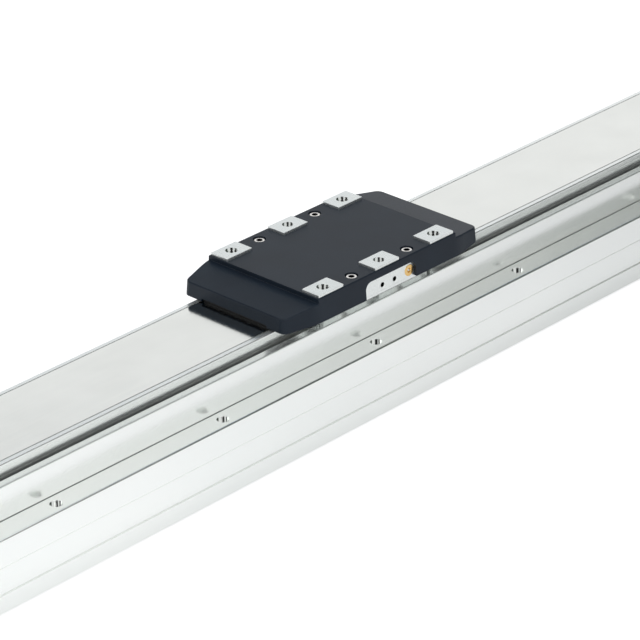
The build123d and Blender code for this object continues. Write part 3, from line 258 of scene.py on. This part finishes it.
# Milled aluminium plate: bare and bright, with fine cutter marks across it and crisp edges, painted pale as a
# highlight. The walls of its upright bores have the drill's rings, drawn coarser than they are so that they
# show, and are painted a little darker as shade. The tapped holes in its sides are painted dark from their
# mouths on, as the shade inside them.
milled_plate = surface("milled_aluminium", ("#EBEFED", "#F0F3F1"), (0.9, 9, 4), 18,
                       (0.26, 0.32), 0.001, metallic=0.92, edge=(0.3, "#FFFFFF", 0.8),
                       bores=[(True, pad_pitch, carriage_x, pad_out, 5.0, pad_top, 1.25, 0.7, "#D2D6D4"),
                              (False, side_hole_step, carriage_x - 2 * side_hole_step, side_hole_height, 1.9,
                               plate_side, 0.5, 0.0, "#0C0D0D")])

# Machined and anodised heads: an even, fine matte from bead blasting before the anodising.
blasted_anodised = surface("blasted_anodised_aluminium", ("#CDD1CE", "#D8DBD9"), (0.8, 0.8, 0.8), 40,
                           (0.34, 0.46), 0.012, metallic=1.0, edge=(0.4, "#F0F2F0", 0.5))

# Black-anodised covers and clamps: satin black with a faint grain, greyer where the edges are broken.
black_anodised = surface("black_anodised_aluminium", ("#1D1F22", "#26282B"), (0.6, 0.6, 0.6), 25,
                         (0.32, 0.44), 0.01, edge=(0.4, "#6E7276", 0.5))

# Zinc-plated steel: bright, slightly cloudy and cool, as on cap screws.
zinc_plated = surface("zinc_plated_steel", ("#C9CCD1", "#DEDFDD"), (1.2, 1.2, 1.2), 4,
                      (0.18, 0.32), 0.004, metallic=1.0, edge=(0.2, "#FFFFFF", 0.5))

# The carriage's cap screws have the same plating, and sockets painted dark at any depth: painted shade in the
# sockets.
cap_screw_painted_socket_shade = surface("zinc_plated_cap_screw", ("#EFEBE6", "#F7F3EE"), (1.2, 1.2, 1.2), 4,
                          (0.18, 0.32), 0.004, metallic=0.85, edge=(0.2, "#FFFFFF", 0.5),
                          bores=[(True, screw_pitch, carriage_x + screw_pitch / 2, screw_out, screw_socket,
                                  120.0, 1.0, 0.0, "#100F0F")])

# Ground and hardened steel rail: darker than the aluminium, with long grinding lines.
ground_rail = surface("ground_rail_steel", ("#A9ADB0", "#BABDC0"), (120, 0.6, 0.6), 50,
                      (0.14, 0.24), 0.002, metallic=1.0)

# Runner block steel: milled and ground, greyer and duller than the rail.
block_steel = surface("runner_block_steel", ("#8F9498", "#A3A7AA"), (6, 0.6, 0.6), 12,
                      (0.26, 0.38), 0.006, metallic=1.0, edge=(0.3, "#D8DADB", 0.5))

# Turned steel: fine rings run round the shaft and the axle, so light spreads along them.
turned_steel = surface("turned_steel", ("#B4B8BB", "#C4C7C9"), (12, 0.35, 12), 15,
                       (0.14, 0.26), 0.003, metallic=1.0)

# Bearing steel: polished, almost a mirror.
bearing_steel = surface("polished_bearing_steel", ("#BDC0C3", "#CDD0D2"), (8, 0.4, 8), 10,
                        (0.06, 0.12), 0.0008, metallic=1.0)

# Turned and tooth-milled aluminium of the pulleys: bright, with turning rings.
turned_aluminium = surface("turned_aluminium", ("#CFD2D2", "#DFE1E1"), (10, 0.5, 10), 12,
                           (0.22, 0.34), 0.004, metallic=1.0)

# Phosphated spring steel of the retaining rings: dark grey and dull.
spring_steel = surface("phosphated_spring_steel", ("#35373A", "#45484B"), (0.5, 0.5, 0.5), 5,
                       (0.42, 0.55), 0.006, metallic=0.8)

# Glass-filled nylon end caps of the runner blocks: dark green, matte, with a moulded grain.
moulded_nylon = surface("moulded_nylon", ("#1E3A2E", "#264436"), (0.7, 0.7, 0.7), 14,
                        (0.46, 0.58), 0.015, edge=(0.4, "#4C6A5B", 0.4))

# Nitrile rubber of the buffers and scrapers: soft black, dusty rather than glossy.
black_rubber = surface("nitrile_rubber", ("#0D0D0E", "#141415"), (0.9, 0.9, 0.9), 9,
                       (0.62, 0.78), 0.02, edge=(0.6, "#2A2A2B", 0.4))

# Polyurethane belt: dense black with a faint sheen, and a trace of the weave of its facing.
belt_polyurethane = surface("belt_polyurethane", ("#1F2023", "#2C2D31"), (1.1, 0.5, 1.1), 20,
                            (0.48, 0.62), 0.03)

# Free-turning brass of the grease nipple: a golden yellow, bright from the lathe.
turned_brass = surface("turned_brass", ("#E8BC70", "#F2CE90"), (5, 0.3, 5), 6,
                       (0.16, 0.28), 0.003, metallic=1.0, edge=(0.25, "#FFE3A0", 0.5))

dress(extrusion, "base_profile")
dress(brushed_anodised, "cover_bar")
dress(rolled_stainless, "cover_band")
dress(textured_black, "carriage_hood")
dress(milled_plate, "carriage_plate", "carriage_frame", "belt_clamps_lower", "belt_clamps_upper",
      "tension_yoke")
dress(blasted_anodised, "drive_housing", "tension_housing", "bearing_cap", "motor_flange")
dress(black_anodised, "drive_end_cover", "tension_end_cover", "band_clamp_drive_end",
      "band_clamp_tension_end")
dress(cap_screw_painted_socket_shade, "carriage_screws")
dress(zinc_plated, "cover_bar_screws", "band_clamp_screws", "drive_cover_screws",
      "tension_cover_screws", "drive_housing_bolts", "tension_housing_bolts", "motor_flange_screws",
      "rail_screws", "runner_block_screws", "belt_clamp_screws", "tension_screw_near",
      "tension_screw_far", "drive_pulley_flanges", "idler_pulley_flanges")
dress(ground_rail, "guide_rail_near", "guide_rail_far", "pulley_key")
dress(block_steel, "runner_block_drive_end_near", "runner_block_drive_end_far",
      "runner_block_tension_end_near", "runner_block_tension_end_far")
dress(turned_steel, "drive_shaft", "idler_axle", "idler_spacers")
dress(bearing_steel, "drive_bearing_outer_rings", "drive_bearing_inner_rings", "drive_bearing_balls",
      "drive_bearing_shields", "idler_bearing_outer_rings", "idler_bearing_inner_rings",
      "idler_bearing_balls")
dress(turned_aluminium, "drive_pulley", "idler_pulley")
dress(spring_steel, "retaining_rings")
dress(moulded_nylon, "runner_end_caps")
dress(black_rubber, "stop_buffers_drive_end", "stop_buffers_tension_end", "band_scraper_drive_end",
      "band_scraper_tension_end")
dress(turned_brass, "grease_nipple_near", "grease_nipple_far")


# Pieces worked out as surfaces

def tube_faces(rows, columns, ring, first):
    """The quads of a tube, whose points are counted on from the first: rows along it, columns round it.

    A ring joins its last row to its first. Any other tube has a flat face over each end.
    """
    i = np.arange(rows if ring else rows - 1)[:, None]
    j = np.arange(columns)[None, :]
    row = first + i * columns
    following = first + (i + 1) % rows * columns
    beside = (j + 1) % columns
    quads = np.stack([row + j, row + beside, following + beside, following + j], axis=-1)
    faces = quads.reshape(-1, 4).tolist()
    if not ring:
        last = first + (rows - 1) * columns
        faces += [list(range(first, first + columns))[::-1], list(range(last, last + columns))]
    return faces


def piece(name, tubes, ring, material, body, smooth):
    """A mesh at the origin made of tubes, each an array of rows by columns by x, y and z in mm.

    It rides on the body, or on none yet where the body is None.
    """
    points, faces = [], []
    for tube in tubes:
        faces += tube_faces(*tube.shape[:2], ring, len(points))
        points += (tube.reshape(-1, 3) * MM).tolist()
    mesh = bpy.data.meshes.new(name)
    mesh.from_pydata(points, [], faces)
    mesh.update()
    mesh.polygons.foreach_set("use_smooth", np.full(len(mesh.polygons), smooth))
    mesh.materials.append(material)
    made = bpy.data.objects.new(name, mesh)
    bpy.context.scene.collection.objects.link(made)
    if body:
        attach(made, body)
    return made


def toothed_loop():
    """A closed belt round two equal pulleys.

    Its pitch line is two straights and two half circles. A section of four corners is carried along it: the
    two outer ones stay at a fixed height above the line, and the two inner ones drop under it by
    flank + sqrt(half width squared - u squared) wherever the distance u from the nearest tooth's middle
    is less than the tooth's half width. The section stops at a few places on each tooth, at its edge, and a
    hair outside it.
    """
    hair = 0.001
    half = np.array([0.38, 0.75, 1.1, tooth_half, tooth_half + hair])
    steps = np.concatenate([[-belt_pitch / 2], -half[::-1], [0.0], half])
    teeth = 2 * straight_teeth + pulley_teeth
    u = np.tile(steps, teeth)
    along = (np.repeat(np.arange(teeth), len(steps)) * belt_pitch + u) % (teeth * belt_pitch)
    drop = np.where(np.abs(u) <= tooth_half,
                    tooth_flank + np.sqrt(np.clip(tooth_half ** 2 - u ** 2, 0, None)), 0.0)
    straight = straight_teeth * belt_pitch
    half_turn = pulley_teeth * belt_pitch / 2
    returning = along >= straight + half_turn
    s = np.where(returning, along - straight - half_turn, along)
    angle = np.clip(s - straight, 0, None) / pitch_radius
    run = np.minimum(s, straight)
    sign = np.where(returning, -1.0, 1.0)
    line_x = np.where(returning, straight - run, run) + drive_axis_x
    out_x, out_z = sign * np.sin(angle), sign * np.cos(angle)
    corners = []
    for across, height in ((-1, belt_inside - drop), (1, belt_inside - drop), (1, belt_outside + 0 * drop),
                           (-1, belt_outside + 0 * drop)):
        reach = pitch_radius + height
        corners.append(np.stack([line_x + out_x * reach, across * belt_half_width + 0 * reach,
                                 pulley_axis_z + out_z * reach], axis=-1))
    return np.stack(corners, axis=1)


def thread_ridge(mouth, into, core_radius, pitch, depth, height):
    """The ridge of a screw thread on the wall of a hole that goes into the metal from its mouth.

    A triangle of three corners, two on the wall and one standing in by the ridge's height, is carried along
    the helix (radius cos t, radius sin t, pitch t / 2 pi), from start pitches under the mouth. Its size grows
    from nothing and shrinks to nothing over half a turn at both ends.
    """
    half_foot, start, steps_per_turn = 0.42, 0.75, 30
    wall_gap, thinnest = 0.01, 0.02
    turns = depth / pitch - 1
    t = np.linspace(0, 2 * math.pi * turns, int(turns * steps_per_turn))
    grown = np.clip(np.minimum(t, t[-1] - t) / math.pi, thinnest, 1.0)
    side = np.array([1.0, 0.0, 0.0])
    third = np.cross(into, side)
    corners = []
    for offset, stand in ((-half_foot, 0.0), (0.0, 1.0), (half_foot, 0.0)):
        radius = core_radius - wall_gap - stand * height * grown
        forward = (t / (2 * math.pi) + start + offset * grown) * pitch
        outward = np.cos(t)[:, None] * side + np.sin(t)[:, None] * third
        corners.append(np.array(mouth) + radius[:, None] * outward + forward[:, None] * np.array(into, float))
    return np.stack(corners, axis=1)


def ball(centre, radius):
    """A sphere: circles of radius r cos a at height r sin a, with small flat caps at its poles."""
    a = np.radians(np.linspace(-84, 84, 15))[:, None]
    b = np.linspace(0, 2 * math.pi, 28, endpoint=False)[None, :]
    return np.array(centre) + radius * np.stack([np.cos(a) * np.cos(b), np.cos(a) * np.sin(b),
                                                 np.sin(a) + 0 * b], axis=-1)


belt = piece("belt_with_teeth", [toothed_loop()], True, belt_polyurethane, None, False)
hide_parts("toothed_belt")
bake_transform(belt)

corner_holes = [(carriage_x + x, y, pad_top) for x in (-pad_pitch, pad_pitch) for y in (-pad_out, pad_out)]
piece("pad_hole_threads", [thread_ridge(hole, (0, 0, -1), pad_core, pad_thread, 15.0, 0.5)
                           for hole in corner_holes],
      False, milled_plate, "carriage", True)
side_holes = [((carriage_x - side * aside * side_hole_step, side * plate_side, side_hole_height),
               (0, -side, 0)) for side in (-1, 1) for aside in (-1, 2)]
piece("side_hole_threads", [thread_ridge(mouth, into, side_hole_core, side_hole_thread, 7.4, 0.2)
                            for mouth, into in side_holes],
      False, milled_plate, "carriage", True)
piece("nipple_balls", [ball((carriage_x - side * nipple_aside, side * nipple_out, nipple_height), nipple_ball)
                       for side in (-1, 1)],
      False, bearing_steel, "carriage", True)


# Studio

# The floor is white paper, with a part of its white given to direct view, so that it stays white round the
# shadow. Metal mirrors that part too, less and less towards the slide's right end: a painted falloff of light
# along X.
floor_white = empty_material("studio_floor")
tree = floor_white.node_tree
paths = add(tree, "LightPath")
direct = add(tree, "Math", links={0: paths.outputs["Is Camera Ray"], 1: paths.outputs["Is Transmission Ray"]},
             operation="MAXIMUM")
length = add(tree, "SeparateXYZ", links={"Vector": add(tree, "TexCoord").outputs["Object"]}).outputs["X"]
# A painted falloff of light: the glow that metal mirrors fades along X.
painted_falloff = add(tree, "MapRange", {"From Min": -0.3, "From Max": 0.45, "To Min": 0.62, "To Max": 0.0},
             {"Value": length})
mirrored = add(tree, "Math", links={0: paths.outputs["Is Glossy Ray"], 1: painted_falloff.outputs["Result"]},
               operation="MULTIPLY")
seen = add(tree, "Math", links={0: direct.outputs["Value"], 1: mirrored.outputs["Value"]},
           operation="MAXIMUM").outputs["Value"]
given = add(tree, "Math", {1: 0.42}, {0: seen}, operation="MULTIPLY").outputs["Value"]
paint = add(tree, "BsdfDiffuse", {"Color": linear("#E9E9E9")})
glow = add(tree, "Emission", {"Color": linear("#FFFFFF")}, {"Strength": given})
together = add(tree, "AddShader", links={0: paint.outputs["BSDF"], 1: glow.outputs["Emission"]})
add(tree, "OutputMaterial", links={"Surface": together.outputs["Shader"]})

# It lies a fifth of a millimetre under the slide and reaches 12 m to each side.
floor_half, floor_height = 12.0, -0.2 * MM
floor_mesh = bpy.data.meshes.new("studio_floor")
floor_mesh.from_pydata([(x * floor_half, y * floor_half, floor_height)
                        for x, y in ((-1, -1), (1, -1), (1, 1), (-1, 1))], [], [(0, 1, 2, 3)])
floor_mesh.materials.append(floor_white)
floor = bpy.data.objects.new("studio_floor", floor_mesh)
bpy.context.scene.collection.objects.link(floor)

# The room: white all round, with soft flags that only metal and gloss mirror.
world = bpy.data.worlds.new("studio")
bpy.context.scene.world = world
world.use_nodes = True
tree = world.node_tree
tree.nodes.clear()
direction = add(tree, "TexCoord").outputs["Generated"]


def over(behind_it, colour, cover):
    """A colour over what is behind it in the room, which is white where there is nothing yet."""
    links = {0: cover, 6: behind_it} if behind_it else {0: cover}
    return add(tree, "Mix", {6: linear("#FFFFFF"), 7: linear(colour)}, links, data_type="RGBA").outputs[2]


def flag(behind_it, colour, heading, height, full, gone):
    """A round flag over the room: full inside one angle from its middle, gone outside the other.

    Its heading in degrees goes from -Y towards +X, and its height is its middle's height over the horizon.
    """
    turned, raised = math.radians(heading), math.radians(height)
    towards = (math.sin(turned) * math.cos(raised), -math.cos(turned) * math.cos(raised), math.sin(raised))
    closeness = add(tree, "VectorMath", {1: towards}, {0: direction}, operation="DOT_PRODUCT")
    cover = add(tree, "MapRange", {"From Min": math.cos(math.radians(gone)),
                                   "From Max": math.cos(math.radians(full))},
                {"Value": closeness.outputs["Value"]}, interpolation_type="SMOOTHSTEP")
    return over(behind_it, colour, cover.outputs["Result"])


def screen(behind_it, colour, first, last, soft):
    """An upright screen over the room, between two headings, with edges that are soft degrees wide."""
    sides = []
    for heading in (math.radians(first + 90), math.radians(last - 90)):
        aside = add(tree, "VectorMath", {1: (math.sin(heading), -math.cos(heading), 0.0)}, {0: direction},
                    operation="DOT_PRODUCT")
        cover = add(tree, "MapRange", {"From Max": math.sin(math.radians(soft))},
                    {"Value": aside.outputs["Value"]}, interpolation_type="SMOOTHSTEP")
        sides.append(cover.outputs["Result"])
    both = add(tree, "Math", links={0: sides[0], 1: sides[1]}, operation="MULTIPLY")
    return over(behind_it, colour, both.outputs["Value"])


# A dark flag high behind the slide gives the black hood its contrast. The dark space round the camera and a
# high flag on each side of it streak the walls of the bores. A grey-green screen to the right of the camera
# shades the aluminium's right end.
room = None
for row in (("#406078", 134, 52, 17, 24), ("#050505", -46, 43, 21, 26), ("#151716", 72, 58, 21, 26),
            ("#0A0B0A", 196, 50, 27, 34)):
    room = flag(room, *row)
room = screen(room, "#39433B", 45, 108, 8)
paths = add(tree, "LightPath")
shine = add(tree, "Background", {"Strength": 1.0}, {"Color": room})
backdrop = add(tree, "Background", {"Color": linear("#FFFFFF"), "Strength": 1.0})
fill = add(tree, "Background", {"Color": linear("#FBFCFF"), "Strength": 0.62})
lit = add(tree, "MixShader", links={0: paths.outputs["Is Glossy Ray"], 1: fill.outputs["Background"],
                                    2: shine.outputs["Background"]})
behind = add(tree, "Math", links={0: paths.outputs["Is Camera Ray"], 1: paths.outputs["Is Transmission Ray"]},
             operation="MAXIMUM")
whole = add(tree, "MixShader", links={0: behind.outputs["Value"], 1: lit.outputs["Shader"],
                                      2: backdrop.outputs["Background"]})
add(tree, "OutputWorld", links={"Surface": whole.outputs["Shader"]})


def softbox(name, place, target, width, height, watts):
    """A soft rectangular lamp that looks at a target, in metres."""
    lamp = bpy.data.lights.new(name, "AREA")
    lamp.shape = "RECTANGLE"
    lamp.size = width
    lamp.size_y = height
    lamp.energy = watts
    made = bpy.data.objects.new(name, lamp)
    made.location = place
    made.rotation_euler = (Vector(target) - Vector(place)).to_track_quat("-Z", "Y").to_euler()
    bpy.context.scene.collection.objects.link(made)


slide_middle = (0.0, 0.0, 0.1)
softbox("overhead_softbox", (0.0, 0.4, 2.2), slide_middle, 2.4, 1.6, 16.0)
softbox("front_softbox", (-1.2, -2.0, 1.3), slide_middle, 1.4, 1.4, 12.0)


# Camera

# The photograph's camera: its heading, its height over the horizon and its roll in degrees, its focal length
# for a frame of 640 pixels, and how far right of, above and behind the middle of the pads' tops it stands, in
# metres and in its own directions.
heading, height, roll = math.radians(-46.02), math.radians(26.71), math.radians(-1.23)
focal_length, frame_width, sensor = 3450.6, 640, 36.0
stand = Vector((-0.009456, -0.058182, 2.56458))
aim = Vector((carriage_x, 0.0, pad_top)) * MM
across = Vector((math.cos(heading), math.sin(heading), 0.0))
back = Vector((math.sin(heading) * math.cos(height), -math.cos(heading) * math.cos(height), math.sin(height)))
upward = back.cross(across)
right = math.cos(roll) * across + math.sin(roll) * upward
top = -math.sin(roll) * across + math.cos(roll) * upward
turn = Matrix((right, top, back)).transposed()
camera_data = bpy.data.cameras.new("camera")
camera_data.sensor_width = sensor
camera_data.lens = focal_length / frame_width * sensor
camera = bpy.data.objects.new("camera", camera_data)
camera.matrix_world = Matrix.Translation(turn @ stand + aim) @ turn.to_4x4()
bpy.context.scene.collection.objects.link(camera)
bpy.context.scene.camera = camera
bpy.context.scene.view_settings.view_transform = "Standard"
